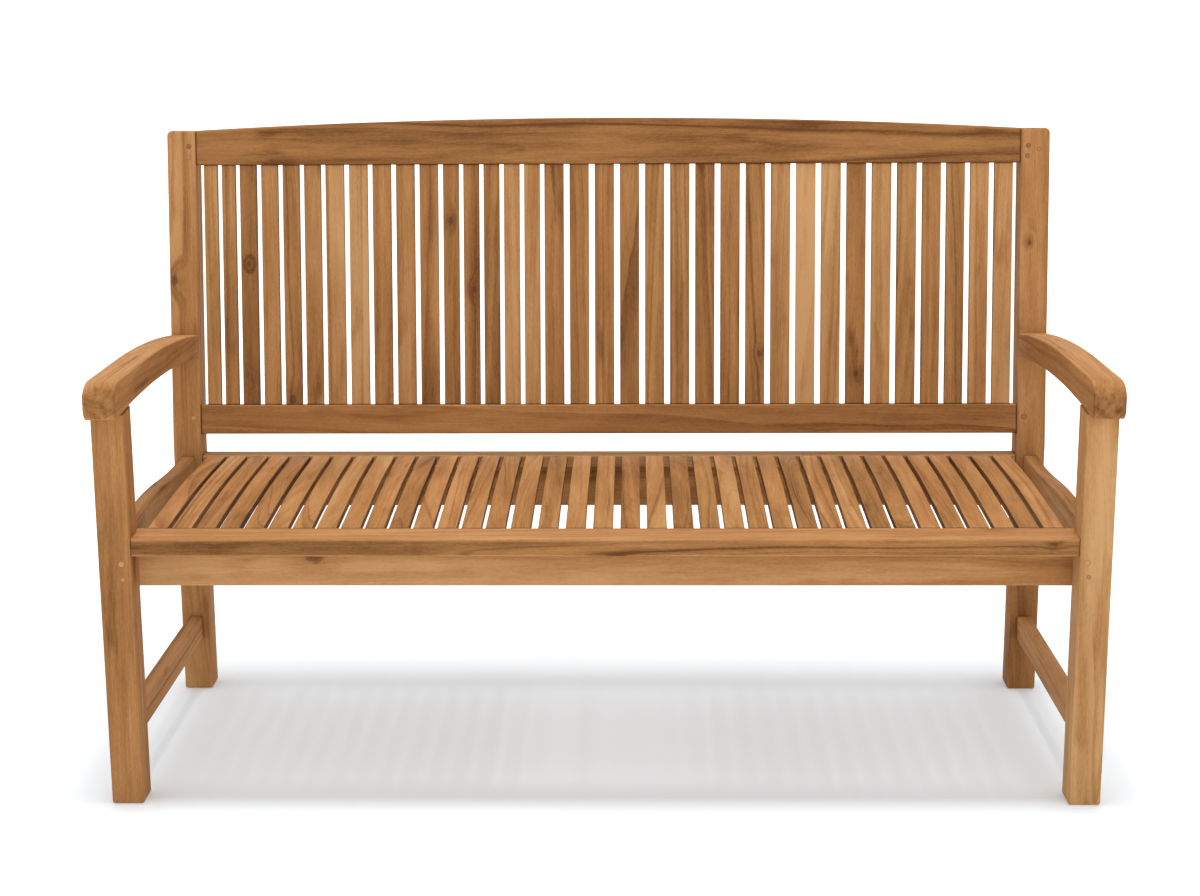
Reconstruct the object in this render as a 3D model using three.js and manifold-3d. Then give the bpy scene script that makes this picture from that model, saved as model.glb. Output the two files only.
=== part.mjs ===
// A three-seat slatted garden bench in oiled teak, built as a joiner would build it:
// two end frames (front leg, raked rear post, arm, seat rail, low stretcher) tied together by
// the aprons, the seat boards and the two rails that hold the back slats.
//
// Millimetres, +X to the right-hand end as seen from the front, +Y to the back, +Z up. Left and
// right in the names are also as seen from the front. The working origin is the floor under the
// front faces of the front legs, in the middle.
import * as THREE from 'three';
import { mergeVertices } from 'three/addons/utils/BufferGeometryUtils.js';
import Module from 'manifold-3d';

const wasm = await Module();
wasm.setup();

// ---- Driving dimensions -------------------------------------------------------------------

const GAP = 0.3; // clearance left between neighbouring pieces

const WIDTH = 1500; // over the outer faces of the legs
const LEG = { width: 48, depth: 50 };
const POST_Y = 528; // front face of the rear posts below the seat
const KINK_Z = 440; // where the posts start to lean back
const RAKE = THREE.MathUtils.degToRad(7.5);
const POST_LENGTH = 540; // from the kink to the top, along the rake

const ARM = { width: 46, nose: -43, radius: 2900 };
const ARM_TOP = { crestY: 150, crestZ: 658.5 }; // level in front of its crest
const ARM_UNDERSIDE = { crestY: 200, crestZ: 613.5 };
const NOSE = { middleZ: 632.5, topLength: 38, bottomLength: 13 }; // two quarter ellipses

const RAIL_THICKNESS = 23; // side seat rails and stretchers
const APRON_THICKNESS = 22;
const APRON_BOTTOM = 331;
const REAR_APRON_Y = 540;
const SEAT_RAIL = { crestY: 235, crestZ: 428.5, dip: 9, wave: 430 };
const STRETCHER = { bottom: 92, height: 42 };

const FRONT_BOARD = { front: 3, depth: 64, top: 416.5, thickness: 26.5 };
const REAR_BOARD = { front: 532, depth: 36, top: 421.8, thickness: 20.3 };
const SEAT_CROWN = 6; // rise of the seat slats between the two boards
const BEARER = { thickness: 22, bottom: 350 };

// Back rails and slats, measured along the rake from the kink.
const BACK_RAIL = { setback: 2, thickness: 25 };
const BOTTOM_RAIL = { bottom: 21, height: 50 };
const TOP_RAIL = { bottom: 482, endHeight: 58, arch: 19.5 };
const BACK_SLAT = { setback: 4, thickness: 11, tenon: 10 };
const SEAT_SLAT = { thickness: 12, tongue: 10, tongueThickness: 6 };

// Runs of slats from left to right: how many, the width of each and the space after each.
const BACK_RUNS = [
  [2, 23.2, 7.5], [4, 28.6, 8.1], [5, 31.6, 8.6], [5, 27, 7.6], [15, 33, 9.9], [4, 31.2, 9.4],
];
const SEAT_RUNS = [[14, 29.5, 7.05], [1, 29.5, 8.4], [4, 30, 11.4], [3, 30, 10.3], [15, 29.5, 7.3]];
const SEAT_SETS = [5, 5, 4, 5, 4, 5, 4, 5]; // seat slats per joined set

// Tenons. A shoulder is the step left above, below or in front of a tongue.
const LEG_TENON = { length: 25, thickness: 11 };
const SEAT_RAIL_TENON = { lowShoulder: 15, highShoulder: 25 };
const STRETCHER_TENON = { shoulder: 6 };
const ARM_TENON = { thickness: 12, bottom: 600, top: 622, length: 45 };
const LEG_TOP_TENON = { front: 10, back: 40, height: 22 };
const APRON_TENON = { length: 11, thickness: 10, frontShoulder: 6, lowShoulder: 10 };
const APRON_TENON_TOP = { front: 50, rear: 60 }; // above the bottom edge of the aprons
const BACK_RAIL_TENON = { frontShoulder: 7, endShoulder: 7, topRailTopShoulder: 14 };
const BEARER_TENON = { thickness: 12, bottom: 360, top: 384, length: 10 };
const BACK_SLAT_TENON = { sideShoulder: 3, faceShoulder: 2.5 };
const LAP = 5; // how far a joined or cutting block runs into its neighbour

// ---- Values worked out from them ----------------------------------------------------------

const LEG_INNER = WIDTH / 2 - LEG.width;
const RAIL_X = WIDTH / 2 - LEG.width / 2; // centre line of the side rails and stretchers
const RAIL_INNER = RAIL_X - RAIL_THICKNESS / 2;
const REAR_APRON_X = LEG_INNER - GAP;
const FRONT_APRON_Y = LEG.depth + GAP;
const REARMOST_Y = POST_Y + POST_LENGTH * Math.sin(RAKE) + LEG.depth * Math.cos(RAKE) ** 2;

// ---- Colours ------------------------------------------------------------------------------

const teak = (colour) => new THREE.MeshStandardMaterial({ color: colour, roughness: 0.6, metalness: 0 });
const FRAME_TEAK = teak(0xb07b48);
const SLAT_TEAK = teak(0xa8743f);
const SEAT_TEAK = teak(0xb98450);

// ---- Helpers ------------------------------------------------------------------------------

// A plain block between two corners.
function block(x0, x1, y0, y1, z0, z1) {
  const geometry = new THREE.BoxGeometry(x1 - x0, y1 - y0, z1 - z0);
  return geometry.translate((x0 + x1) / 2, (y0 + y1) / 2, (z0 + z1) / 2);
}

// A side view drawn as [y, z] points, given its thickness from x0 to x1.
function sidePiece(points, x0, x1) {
  const shape = new THREE.Shape(points.map(([y, z]) => new THREE.Vector2(y, z)));
  const geometry = new THREE.ExtrudeGeometry(shape, { depth: x1 - x0, bevelEnabled: false });
  const toSide = new THREE.Matrix4().makeBasis(
    new THREE.Vector3(0, 1, 0), new THREE.Vector3(0, 0, 1), new THREE.Vector3(1, 0, 0));
  return geometry.applyMatrix4(toSide).translate(x0, 0, 0);
}

// A front view drawn as a Shape in x and z, given its thickness from y0 to y1.
function frontPiece(shape, y0, y1) {
  const geometry = new THREE.ExtrudeGeometry(shape, { depth: y1 - y0, bevelEnabled: false, curveSegments: 24 });
  return geometry.rotateX(Math.PI / 2).translate(0, y1, 0);
}

function toSolid(geometry) {
  const bare = geometry.clone();
  bare.deleteAttribute('normal');
  bare.deleteAttribute('uv');
  const merged = mergeVertices(bare, 1e-4);
  return new wasm.Manifold(new wasm.Mesh({
    numProp: 3,
    vertProperties: merged.attributes.position.array,
    triVerts: new Uint32Array(merged.index.array),
  }));
}

function toGeometry(solid) {
  const mesh = solid.getMesh();
  const geometry = new THREE.BufferGeometry();
  geometry.setAttribute('position', new THREE.BufferAttribute(mesh.vertProperties, 3));
  geometry.setIndex(new THREE.BufferAttribute(mesh.triVerts, 1));
  return geometry;
}

function join(pieces) {
  return toGeometry(pieces.map(toSolid).reduce((whole, piece) => whole.add(piece)));
}

function cut(piece, tools) {
  return toGeometry(tools.map(toSolid).reduce((whole, tool) => whole.subtract(tool), toSolid(piece)));
}

// The same piece at the other end of the bench, its triangles turned round to face out again.
function mirrored(geometry) {
  const mirror = geometry.clone().scale(-1, 1, 1);
  mirror.index.array.reverse();
  return mirror;
}

// Left and right edges of every slat of the runs, centred on the bench.
function slatEdges(runs) {
  const widths = runs.flatMap(([count, width, space]) => Array(count).fill([width, space]));
  const last = widths.length - 1;
  const total = widths.reduce((sum, [width, space], i) => sum + width + (i < last ? space : 0), 0);
  let x = -total / 2;
  return widths.map(([width, space]) => {
    const edges = [x, x + width];
    x += width + space;
    return edges;
  });
}

function addMesh(group, name, geometry, material) {
  const mesh = new THREE.Mesh(geometry, material);
  mesh.name = name;
  group.add(mesh);
}

function addPair(group, name, geometry, material) {
  addMesh(group, `${name}_right`, geometry, material);
  addMesh(group, `${name}_left`, mirrored(geometry), material);
}

// ---- The assembly -------------------------------------------------------------------------

const bench = new THREE.Group();
bench.position.y = -(REARMOST_Y + ARM.nose) / 2; // centred front to back

const back = new THREE.Group(); // tilted with the posts; its z runs up the rake
back.position.set(0, POST_Y, KINK_Z);
back.rotation.x = -RAKE;
back.updateMatrix();
bench.add(back);

const inBack = (geometry) => geometry.clone().applyMatrix4(back.matrix);

// Height of a shallow arc of the arm's radius at y, from its crest.
const armArc = ({ crestY, crestZ }, y) =>
  crestZ - ARM.radius + Math.sqrt(ARM.radius ** 2 - (y - crestY) ** 2);

const armTopHeight = (y) => armArc(ARM_TOP, Math.max(y, ARM_TOP.crestY));

// Height of the seat slats' top face at y: a straight line between the boards plus the crown.
function seatHeight(y) {
  const start = FRONT_BOARD.front + FRONT_BOARD.depth;
  const t = (y - start) / (REAR_BOARD.front - start);
  return THREE.MathUtils.lerp(FRONT_BOARD.top, REAR_BOARD.top, t) + SEAT_CROWN * Math.sin(Math.PI * t);
}

const seatRailHeight = (y) =>
  SEAT_RAIL.crestZ - (SEAT_RAIL.dip / 2) * (1 - Math.cos(2 * Math.PI * (y - SEAT_RAIL.crestY) / SEAT_RAIL.wave));

// Evenly spaced [y, z] points of a curve from y0 to y1.
const curvePoints = (height, y0, y1, steps) =>
  Array.from({ length: steps + 1 }, (_, i) => {
    const y = y0 + ((y1 - y0) * i) / steps;
    return [y, height(y)];
  });

// ---- Tenons: each returns the tongue, and grown by the clearance it is also the mortise -----

// Tongue of a side rail or stretcher, running front to back between z0 and z1.
const sideTongue = (y0, y1, z0, z1, grow = 0) => block(
  RAIL_X - LEG_TENON.thickness / 2 - grow, RAIL_X + LEG_TENON.thickness / 2 + grow,
  y0 - grow, y1 + grow, z0 - grow, z1 + grow);

const seatRailTongue = (grow) => sideTongue(
  LEG.depth - LEG_TENON.length, POST_Y + LEG_TENON.length,
  APRON_BOTTOM + SEAT_RAIL_TENON.lowShoulder, SEAT_RAIL.crestZ - SEAT_RAIL_TENON.highShoulder, grow);

const stretcherTongue = (grow) => sideTongue(
  LEG.depth - LEG_TENON.length, POST_Y + LEG_TENON.length,
  STRETCHER.bottom + STRETCHER_TENON.shoulder,
  STRETCHER.bottom + STRETCHER.height - STRETCHER_TENON.shoulder, grow);

// A tongue on the line of the side rails, as thick as an arm's tenon.
const armLineTongue = (y0, y1, z0, z1, grow) => block(
  RAIL_X - ARM_TENON.thickness / 2 - grow, RAIL_X + ARM_TENON.thickness / 2 + grow, y0, y1, z0, z1);

// Tongue on top of the front leg, up into the arm.
const legTongue = (grow = 0) => armLineTongue(
  LEG_TOP_TENON.front - grow, LEG_TOP_TENON.back + grow,
  armArc(ARM_UNDERSIDE, 0) - LEG.depth, armArc(ARM_UNDERSIDE, 0) + LEG_TOP_TENON.height + grow, grow);

// Tongue at the rear end of the arm, into the post.
const armTongue = (grow = 0) => armLineTongue(
  POST_Y - LEG.depth, POST_Y + ARM_TENON.length + grow,
  ARM_TENON.bottom - grow, ARM_TENON.top + grow, grow);

// Tongues of the aprons, into the seat rails in front and the posts behind.
const apronTongue = (reach, front, height, grow) => block(
  -reach - APRON_TENON.length - grow, reach + APRON_TENON.length + grow,
  front + APRON_TENON.frontShoulder - grow,
  front + APRON_TENON.frontShoulder + APRON_TENON.thickness + grow,
  APRON_BOTTOM + APRON_TENON.lowShoulder - grow, APRON_BOTTOM + height + grow);

const frontApronTongue = (grow = 0) =>
  apronTongue(RAIL_INNER, FRONT_APRON_Y, APRON_TENON_TOP.front, grow);
const rearApronTongue = (grow = 0) =>
  apronTongue(LEG_INNER, REAR_APRON_Y, APRON_TENON_TOP.rear, grow);

// Tongues of the back rails, in the tilted frame.
function backRailTongue(z0, z1, grow = 0) {
  const front = BACK_RAIL.setback + BACK_RAIL_TENON.frontShoulder;
  return block(
    -LEG_INNER - LEG_TENON.length - grow, LEG_INNER + LEG_TENON.length + grow,
    front - grow, front + LEG_TENON.thickness + grow, z0 - grow, z1 + grow);
}

const bottomRailTongue = (grow) => backRailTongue(
  BOTTOM_RAIL.bottom + BACK_RAIL_TENON.endShoulder,
  BOTTOM_RAIL.bottom + BOTTOM_RAIL.height - BACK_RAIL_TENON.endShoulder, grow);

const topRailTongue = (grow) => backRailTongue(
  TOP_RAIL.bottom + BACK_RAIL_TENON.endShoulder,
  TOP_RAIL.bottom + TOP_RAIL.endHeight - BACK_RAIL_TENON.topRailTopShoulder, grow);

// ---- End frames ---------------------------------------------------------------------------

const frontLeg = cut(
  join([
    sidePiece([
      [0, 0], [LEG.depth, 0],
      [LEG.depth, armArc(ARM_UNDERSIDE, LEG.depth) - GAP], [0, armArc(ARM_UNDERSIDE, 0) - GAP],
    ], LEG_INNER, WIDTH / 2),
    legTongue(),
  ]),
  [seatRailTongue(GAP), stretcherTongue(GAP)],
);

function rearPost() {
  const up = new THREE.Vector2(Math.sin(RAKE), Math.cos(RAKE));
  const top = new THREE.Vector2(POST_Y, KINK_Z).addScaledVector(up, POST_LENGTH);
  const across = new THREE.Vector2(up.y, -up.x).multiplyScalar(LEG.depth * Math.cos(RAKE));
  const outline = [
    [POST_Y, 0], [POST_Y + LEG.depth, 0], [POST_Y + LEG.depth, KINK_Z],
    [top.x + across.x, top.y + across.y], [top.x, top.y], [POST_Y, KINK_Z],
  ];
  return cut(sidePiece(outline, LEG_INNER, WIDTH / 2), [
    seatRailTongue(GAP), stretcherTongue(GAP), rearApronTongue(GAP), armTongue(GAP),
    inBack(bottomRailTongue(GAP)), inBack(topRailTongue(GAP)),
  ]);
}

// Points of a quarter ellipse of the nose from angle to angle, in quarter turns.
function noseQuarter(length, height, from, to) {
  const steps = 8;
  return Array.from({ length: steps + 1 }, (_, i) => {
    const angle = (Math.PI / 2) * (from + ((to - from) * i) / steps);
    return [ARM.nose + length + length * Math.cos(angle), NOSE.middleZ + height * Math.sin(angle)];
  });
}

// Arm: two shallow curves, a rounded nose in front and a rear end cut to the rake of the post.
function armrest() {
  const underside = (y) => armArc(ARM_UNDERSIDE, y);
  const postFace = (z) => POST_Y + (z - KINK_Z) * Math.tan(RAKE) - GAP;
  const rearEnd = (height) => postFace(height(postFace(height(POST_Y))));
  const bottomStart = ARM.nose + NOSE.bottomLength;
  const bottomHeight = NOSE.middleZ - underside(bottomStart);
  const outline = [
    ...curvePoints(underside, bottomStart, rearEnd(underside), 12).slice(1),
    ...curvePoints(armTopHeight, rearEnd(armTopHeight), ARM_TOP.crestY, 8),
    ...noseQuarter(NOSE.topLength, ARM_TOP.crestZ - NOSE.middleZ, 1, 2),
    ...noseQuarter(NOSE.bottomLength, bottomHeight, 2, 3).slice(1),
  ];
  const inset = (LEG.width - ARM.width) / 2;
  const bar = sidePiece(outline, LEG_INNER + inset, WIDTH / 2 - inset);
  return cut(join([bar, armTongue()]), [legTongue(GAP)]);
}

const sideSeatRail = cut(
  join([
    sidePiece([
      [LEG.depth + GAP, APRON_BOTTOM], [POST_Y - GAP, APRON_BOTTOM],
      ...curvePoints(seatRailHeight, POST_Y - GAP, LEG.depth + GAP, 24),
    ], RAIL_INNER, RAIL_INNER + RAIL_THICKNESS),
    seatRailTongue(0),
  ]),
  [frontApronTongue(GAP)],
);

const sideStretcher = join([
  block(
    RAIL_INNER, RAIL_INNER + RAIL_THICKNESS, LEG.depth + GAP, POST_Y - GAP,
    STRETCHER.bottom, STRETCHER.bottom + STRETCHER.height),
  stretcherTongue(0),
]);

addPair(bench, 'front_leg', frontLeg, FRAME_TEAK);
addPair(bench, 'rear_post', rearPost(), FRAME_TEAK);
addPair(bench, 'armrest', armrest(), FRAME_TEAK);
addPair(bench, 'side_seat_rail', sideSeatRail, FRAME_TEAK);
addPair(bench, 'side_stretcher', sideStretcher, FRAME_TEAK);

// ---- Aprons, bearer and seat boards -------------------------------------------------------

const frontBoardEnd = FRONT_BOARD.front + FRONT_BOARD.depth;
const frontBoardBottom = FRONT_BOARD.top - FRONT_BOARD.thickness;
const rearBoardBottom = REAR_BOARD.top - REAR_BOARD.thickness;

// Stub tongues of the centre bearer, into both aprons.
const bearerTongue = (grow = 0) => block(
  -BEARER_TENON.thickness / 2 - grow, BEARER_TENON.thickness / 2 + grow,
  FRONT_APRON_Y + APRON_THICKNESS - BEARER_TENON.length - grow,
  REAR_APRON_Y + BEARER_TENON.length + grow, BEARER_TENON.bottom - grow, BEARER_TENON.top + grow);

addMesh(bench, 'front_apron', cut(
  join([
    block(
      -RAIL_INNER + GAP, RAIL_INNER - GAP, FRONT_APRON_Y, FRONT_APRON_Y + APRON_THICKNESS,
      APRON_BOTTOM, frontBoardBottom - GAP),
    frontApronTongue(),
  ]),
  [bearerTongue(GAP)],
), FRAME_TEAK);

addMesh(bench, 'rear_apron', cut(
  join([
    block(
      -REAR_APRON_X, REAR_APRON_X, REAR_APRON_Y, REAR_APRON_Y + APRON_THICKNESS,
      APRON_BOTTOM, rearBoardBottom - GAP),
    rearApronTongue(),
  ]),
  [bearerTongue(GAP)],
), FRAME_TEAK);

const bearerStart = FRONT_APRON_Y + APRON_THICKNESS + GAP;
const bearerEnd = REAR_APRON_Y - GAP;
const slatUnderside = (y) => seatHeight(y) - SEAT_SLAT.thickness - GAP;
addMesh(bench, 'seat_bearer', join([
  sidePiece([
    [bearerStart, BEARER.bottom], [bearerEnd, BEARER.bottom],
    [bearerEnd, rearBoardBottom - GAP], [REAR_BOARD.front - GAP, rearBoardBottom - GAP],
    ...curvePoints(slatUnderside, REAR_BOARD.front - GAP, bearerStart, 24),
  ], -BEARER.thickness / 2, BEARER.thickness / 2),
  bearerTongue(),
]), FRAME_TEAK);

// A groove along the edge of a seat board takes the tongues of the slats.
const groove = (y0, y1, slatTop, grow) => {
  const middle = slatTop - SEAT_SLAT.thickness / 2;
  const half = SEAT_SLAT.tongueThickness / 2 + grow;
  return [y0, y1, middle - half, middle + half];
};
const frontGroove = (grow) => groove(
  frontBoardEnd - SEAT_SLAT.tongue - grow, frontBoardEnd + LAP, FRONT_BOARD.top, grow);
const rearGroove = (grow) => groove(
  REAR_BOARD.front - LAP, REAR_BOARD.front + SEAT_SLAT.tongue + grow, REAR_BOARD.top, grow);

// Front board: fits between the legs and is notched round them to reach the seat rails.
addMesh(bench, 'seat_front_board', cut(
  join([
    block(
      -LEG_INNER + GAP, LEG_INNER - GAP, FRONT_BOARD.front, frontBoardEnd, frontBoardBottom, FRONT_BOARD.top),
    block(
      -RAIL_INNER + GAP, RAIL_INNER - GAP, LEG.depth + GAP, frontBoardEnd, frontBoardBottom, FRONT_BOARD.top),
  ]),
  [block(-LEG_INNER + LAP, LEG_INNER - LAP, ...frontGroove(GAP))],
), FRAME_TEAK);

addMesh(bench, 'seat_rear_board', cut(
  block(
    -LEG_INNER + GAP, LEG_INNER - GAP, REAR_BOARD.front, REAR_BOARD.front + REAR_BOARD.depth,
    rearBoardBottom, REAR_BOARD.top),
  [block(-LEG_INNER + LAP, LEG_INNER - LAP, ...rearGroove(GAP))],
), FRAME_TEAK);

// ---- Seat slats ---------------------------------------------------------------------------

// Neighbouring slats of a set are joined by thin strips hidden in the grooves of the boards.
function seatSlat([x0, x1]) {
  const start = frontBoardEnd + GAP;
  const end = REAR_BOARD.front - GAP;
  return sidePiece([
    ...curvePoints((y) => seatHeight(y) - SEAT_SLAT.thickness, start, end, 16),
    ...curvePoints(seatHeight, end, start, 16),
  ], x0, x1);
}

const seatSlats = slatEdges(SEAT_RUNS);
let firstSlat = 0;
SEAT_SETS.forEach((count, i) => {
  const set = seatSlats.slice(firstSlat, firstSlat + count);
  const x0 = set[0][0] + GAP;
  const x1 = set[count - 1][1] - GAP;
  addMesh(bench, `seat_slats_${i + 1}`, join([
    ...set.map(seatSlat),
    block(x0, x1, ...frontGroove(0)),
    block(x0, x1, ...rearGroove(0)),
  ]), SEAT_TEAK);
  firstSlat += count;
});

// ---- Back ---------------------------------------------------------------------------------

const railFront = BACK_RAIL.setback;
const railBack = BACK_RAIL.setback + BACK_RAIL.thickness;
const bottomRailTop = BOTTOM_RAIL.bottom + BOTTOM_RAIL.height;
const railEnd = LEG_INNER - GAP;
const backSlats = slatEdges(BACK_RUNS);

// The stub tenons at both ends of a back slat are one thinner core running right through it.
const slatCore = ([x0, x1], grow = 0) => block(
  x0 + BACK_SLAT_TENON.sideShoulder - grow, x1 - BACK_SLAT_TENON.sideShoulder + grow,
  BACK_SLAT.setback + BACK_SLAT_TENON.faceShoulder - grow,
  BACK_SLAT.setback + BACK_SLAT.thickness - BACK_SLAT_TENON.faceShoulder + grow,
  bottomRailTop - BACK_SLAT.tenon - grow, TOP_RAIL.bottom + BACK_SLAT.tenon + grow);

addMesh(back, 'back_bottom_rail', cut(
  join([
    block(-railEnd, railEnd, railFront, railBack, BOTTOM_RAIL.bottom, bottomRailTop),
    bottomRailTongue(0),
  ]),
  backSlats.map((edges) => slatCore(edges, GAP)),
), FRAME_TEAK);

// Top rail: straight below, one long arc above.
function topRail() {
  const endZ = TOP_RAIL.bottom + TOP_RAIL.endHeight;
  const radius = (railEnd ** 2 + TOP_RAIL.arch ** 2) / (2 * TOP_RAIL.arch);
  const halfAngle = Math.asin(railEnd / radius);
  const shape = new THREE.Shape();
  shape.moveTo(-railEnd, TOP_RAIL.bottom);
  shape.lineTo(railEnd, TOP_RAIL.bottom);
  shape.lineTo(railEnd, endZ);
  shape.absarc(
    0, endZ + TOP_RAIL.arch - radius, radius, Math.PI / 2 - halfAngle, Math.PI / 2 + halfAngle, false);
  return cut(
    join([frontPiece(shape, railFront, railBack), topRailTongue(0)]),
    backSlats.map((edges) => slatCore(edges, GAP)),
  );
}
addMesh(back, 'back_top_rail', topRail(), FRAME_TEAK);

backSlats.forEach(([x0, x1], i) => {
  const number = String(i + 1).padStart(2, '0');
  addMesh(back, `back_slat_${number}`, join([
    block(
      x0, x1, BACK_SLAT.setback, BACK_SLAT.setback + BACK_SLAT.thickness,
      bottomRailTop + GAP, TOP_RAIL.bottom - GAP),
    slatCore([x0, x1]),
  ]), SLAT_TEAK);
});

export default bench;
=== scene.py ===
"""A three-seat slatted garden bench in oiled teak, on a plain pale floor.

Every board is made again around its CAD node with softened edges and its own cut of the timber:
each point carries where it lies in the tree, so growth lines run along faces and curve on ends.
"""
import math
import random

import bpy
import numpy as np
from bpy.props import FloatProperty, FloatVectorProperty, PointerProperty
from mathutils import Matrix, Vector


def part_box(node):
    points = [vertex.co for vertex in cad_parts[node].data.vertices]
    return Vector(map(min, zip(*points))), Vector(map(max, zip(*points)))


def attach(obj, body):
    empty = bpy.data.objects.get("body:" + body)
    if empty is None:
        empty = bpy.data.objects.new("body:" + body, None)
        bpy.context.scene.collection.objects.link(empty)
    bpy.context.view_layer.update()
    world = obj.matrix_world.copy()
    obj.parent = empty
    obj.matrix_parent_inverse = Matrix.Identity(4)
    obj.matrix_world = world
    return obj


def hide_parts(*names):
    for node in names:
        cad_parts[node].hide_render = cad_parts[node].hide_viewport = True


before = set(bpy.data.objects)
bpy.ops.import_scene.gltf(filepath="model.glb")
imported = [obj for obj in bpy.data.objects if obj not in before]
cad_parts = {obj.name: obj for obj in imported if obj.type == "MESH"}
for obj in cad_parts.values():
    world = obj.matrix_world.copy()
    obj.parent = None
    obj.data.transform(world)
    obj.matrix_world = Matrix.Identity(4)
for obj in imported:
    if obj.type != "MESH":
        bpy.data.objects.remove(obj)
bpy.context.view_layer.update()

bl_info = {
    "name": "Teak Garden Bench",
    "version": (1, 0, 0),
    "blender": (4, 5, 0),
    "location": "View3D > Sidebar > Bench",
    "description": "Builds a slatted teak garden bench board by board",
    "category": "Add Mesh",
}

# ---- Places and curves of the frame, in metres ---------------------------------------------

LEG_LOW, LEG_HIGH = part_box("front_leg_right")
POST_LOW, POST_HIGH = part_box("rear_post_right")
RAIL_LOW, RAIL_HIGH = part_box("side_seat_rail_right")
ARM_LOW, ARM_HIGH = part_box("armrest_right")

GAP = 0.0003
RAKE = math.radians(7.5)
KINK = 0.440  # height where the rear posts start to lean
LEG_DEPTH = LEG_HIGH.y - LEG_LOW.y
FRONT = LEG_LOW.y  # front faces of the front legs
POST_FRONT = POST_LOW.y
POST_RUN = 0.540  # length of the leaning part of a post
POST_FACE_TOP = KINK + POST_RUN * math.cos(RAKE)
LEG_INNER = LEG_LOW.x
RAIL_TOP_CREST, RAIL_TOP_WAVE = 0.235, 0.430  # behind the front of the legs, and wave length
ARM_RADIUS = 2.9


def arc_height(y, crest_y, crest_z, radius=ARM_RADIUS):
    """Height at y of a circle of the given radius whose highest point is (crest_y, crest_z)."""
    return crest_z - radius + np.sqrt(radius ** 2 - (y - crest_y) ** 2)


def arm_top(y):
    """Top of an arm: level from its nose to its crest, then falling on a long arc."""
    return arc_height(np.maximum(y, FRONT + 0.150), FRONT + 0.150, 0.6585)


def arm_underside(y):
    return arc_height(y, FRONT + 0.200, 0.6135)


def seat_rail_top(y):
    """Top edge of a side rail: half a cosine wave that dips towards both ends."""
    turn = 2 * math.pi * (y - FRONT - RAIL_TOP_CREST) / RAIL_TOP_WAVE
    return 0.4285 - 0.0045 * (1 - np.cos(turn))


SEAT_START, SEAT_END = FRONT + 0.067, FRONT + 0.532  # between the two seat boards
SLAT_THICKNESS = 0.012

# The back, in depth behind the posts' front plane and in run up the rake.
BACK_RAIL_DEPTH = (0.002, 0.027)
BACK_SLAT_DEPTH = (0.004, 0.015)
BOTTOM_RAIL_RUN = (0.021, 0.071)
TOP_RAIL_START, TOP_RAIL_END, TOP_RAIL_ARCH = 0.482, POST_RUN, 0.0195


def seat_top(y):
    """Top face of the seat slats: a straight line from board to board plus half a sine wave."""
    t = (y - SEAT_START) / (SEAT_END - SEAT_START)
    return 0.4165 + 0.0053 * t + 0.006 * np.sin(math.pi * t)


def post_lean(z):
    """How far the posts have leaned back at height z: a soft hinge at the kink."""
    d = z - KINK
    return 0.5 * (d + np.sqrt(d * d + 1.6e-5)) * math.tan(RAKE)


def raked(x, off, up):
    """A point of the back from x, its depth behind the posts' front plane and its run up the rake."""
    y = POST_FRONT + off * math.cos(RAKE) + up * math.sin(RAKE)
    z = KINK - off * math.sin(RAKE) + up * math.cos(RAKE)
    return x, y, z


# ---- Settings a user would change -----------------------------------------------------------


class BenchShape(bpy.types.PropertyGroup):
    """How far the edges are taken off."""

    frame_edge: FloatProperty(
        name="Frame edge", description="Radius sanded on the edges of legs, posts and rails",
        default=0.0017, unit="LENGTH")
    slat_edge: FloatProperty(
        name="Slat edge", description="Radius sanded on the edges of the slats",
        default=0.0012, unit="LENGTH")
    nosing_edge: FloatProperty(
        name="Nosing edge", description="Radius of the front top edge of the top rail",
        default=0.0050, unit="LENGTH")
    arm_edge: FloatProperty(
        name="Arm edge", description="Radius of the long top edges of the arms",
        default=0.0021, unit="LENGTH")
    plug_diameter: FloatProperty(
        name="Plug diameter", description="Width of the wooden plugs over the tenon pins",
        default=0.0100, unit="LENGTH")


class BenchWood(bpy.types.PropertyGroup):
    """Colours and figure of the teak."""

    light: FloatVectorProperty(
        name="Light wood", description="Palest sapwood streaks", subtype="COLOR",
        default=(0.560, 0.322, 0.145), min=0, max=1)
    middle: FloatVectorProperty(
        name="Middle wood", description="Main colour of the boards", subtype="COLOR",
        default=(0.388, 0.186, 0.067), min=0, max=1)
    dark: FloatVectorProperty(
        name="Dark wood", description="Late growth lines and knots", subtype="COLOR",
        default=(0.140, 0.057, 0.019), min=0, max=1)
    ring_spacing: FloatProperty(
        name="Ring spacing", description="Distance between growth rings", default=0.0090,
        unit="LENGTH")
    roughness: FloatProperty(
        name="Roughness", description="Roughness of the oiled surface", default=0.62,
        min=0, max=1, subtype="FACTOR")
    relief: FloatProperty(
        name="Fibre relief", description="Strength of the raised grain", default=0.35,
        min=0, max=1, subtype="FACTOR")


class BenchStage(bpy.types.PropertyGroup):
    """Floor and lights."""

    # Near the bench the floor takes this colour, painted cool to cancel the warm light the wood
    # bounces onto it; further away it is a grey of its green.
    floor: FloatVectorProperty(
        name="Floor", description="Colour of the floor and backdrop", subtype="COLOR",
        default=(0.80, 0.86, 0.905), min=0, max=1)
    glow: FloatProperty(
        name="Glow", description="Light given off by the floor itself", default=0.16, min=0)
    sky: FloatProperty(
        name="Sky", description="Strength of the even light from all round", default=0.72, min=0)
    overhead: FloatProperty(
        name="Overhead", description="Power of the high light above the seat", default=375.0,
        subtype="POWER")
    front: FloatProperty(
        name="Front", description="Power of the soft light beside the camera", default=24.0,
        subtype="POWER")


# ---- Softened boards -------------------------------------------------------------------------

CORNER_STEPS = 4
CAP_RING = 0.62  # size of the ring between the rim and the pole of an end


def along(value, l):
    """A limit of a board, given as a number or as a function of length, at the stations l."""
    return np.broadcast_to(np.asarray(value(l) if callable(value) else value, float), l.shape)


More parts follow.
